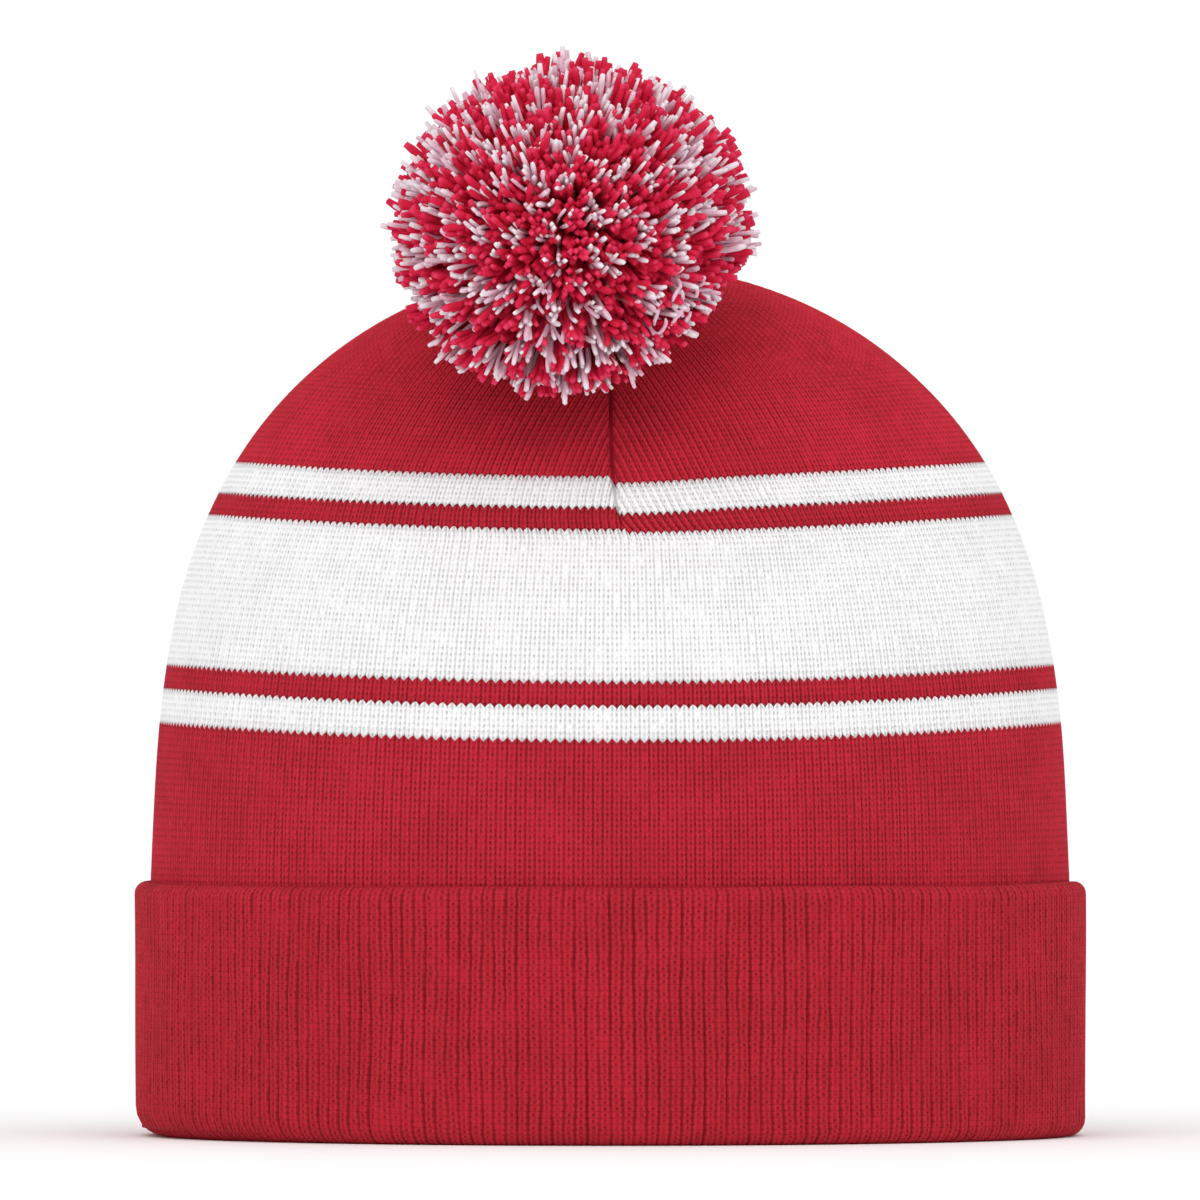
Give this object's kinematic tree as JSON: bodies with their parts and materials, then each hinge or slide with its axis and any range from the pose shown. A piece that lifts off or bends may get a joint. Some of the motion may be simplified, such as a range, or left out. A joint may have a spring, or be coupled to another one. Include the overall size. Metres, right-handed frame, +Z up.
{
  "type": "pom pom beanie",
  "caption": "Lined rib-knit beanie with a turned-up cuff, striped body, darted crown and a two-colour yarn pom pom hinged on its tie, with a blank label inside.",
  "frame": {"origin": "centre of the cuff's bottom edge, on the surface that the hat stands on", "axes": "+Z up through the crown, -Y to the front where the pom pom leans, +X to the wearer's left"},
  "size_m": [0.225, 0.18, 0.2569],
  "materials": {
    "red_yarn": "matt rib knit, red acrylic",
    "white_yarn": "matt rib knit, white acrylic",
    "pom_red": "cut red acrylic strands",
    "pom_white": "cut pale strands, tinted pink by the red",
    "tie_thread": "twisted red yarn",
    "seam_thread": "red sewing thread, slight sheen",
    "label_tape": "blank white satin tape"
  },
  "bodies": {
    "hat": {"crown_knit": "red_yarn", "upper_white_stripe": "white_yarn", "upper_red_stripe": "red_yarn", "wide_white_band": "white_yarn", "lower_red_stripe": "red_yarn", "lower_white_stripe": "white_yarn", "body_knit": "red_yarn", "lining": "red_yarn", "cuff_face": "red_yarn", "cuff_backing": "red_yarn", "crown_seam_front": "seam_thread", "crown_seam_back": "seam_thread", "crown_seam_left": "seam_thread", "crown_seam_right": "seam_thread", "tie_anchor_knot": "tie_thread", "label_hem": "label_tape", "label_stitches": "seam_thread"},
    "tie_bend": {"tie_loop": "tie_thread"},
    "tie": {"tie_shank": "tie_thread"},
    "pom": {"pom_binding": "tie_thread", "pom_red_yarn": "pom_red", "pom_white_yarn": "pom_white"},
    "label": {"label_flap": "label_tape"}
  },
  "joints": [
    {"name": "pom_nod", "type": "hinge", "parent": "hat", "child": "tie_bend", "pos_m": [0, 0, 0.2078], "axis": [-1, 0, 0], "range_deg": [0, 120]},
    {"name": "pom_sway", "type": "hinge", "parent": "tie_bend", "child": "tie", "pos_m": [0, 0, 0.2078], "axis": [0, -0.1673, -0.9859], "range_deg": [-15, 15]},
    {"name": "pom_roll", "type": "hinge", "parent": "tie", "child": "pom", "pos_m": [-0.00798, -0.04766, 0.21589], "axis": [-0.1628, -0.9728, 0.165], "range_deg": [-15, 15]},
    {"name": "label_swing", "type": "hinge", "parent": "hat", "child": "label", "pos_m": [0, 0.07891, 0.066], "axis": [-1, 0, 0], "range_deg": [0, 110]}
  ]
}
